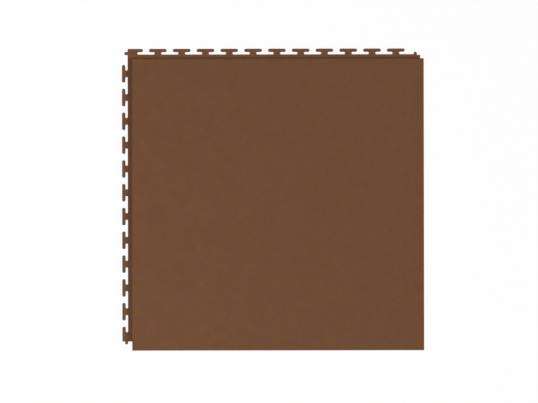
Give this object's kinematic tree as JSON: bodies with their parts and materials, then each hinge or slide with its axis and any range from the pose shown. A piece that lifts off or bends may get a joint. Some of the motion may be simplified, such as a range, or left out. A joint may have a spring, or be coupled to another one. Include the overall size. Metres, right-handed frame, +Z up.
{
  "type": "interlocking pvc floor tile",
  "caption": "Square moulded PVC floor tile with a plain leather-grained cover plate, T-shaped tabs on two sides and hidden sockets under the other two.",
  "frame": {"origin": "middle of the laid tile, on its underside", "axes": "+Z up from the underside to the walking face, +X towards the overhanging right side, +Y towards the upper row of tabs"},
  "size_m": [0.5152, 0.5152, 0.005],
  "materials": {
    "brown_pvc": "moulded, faint leather grain"
  },
  "bodies": {
    "root": {"floor_tile": "brown_pvc"}
  },
  "joints": []
}
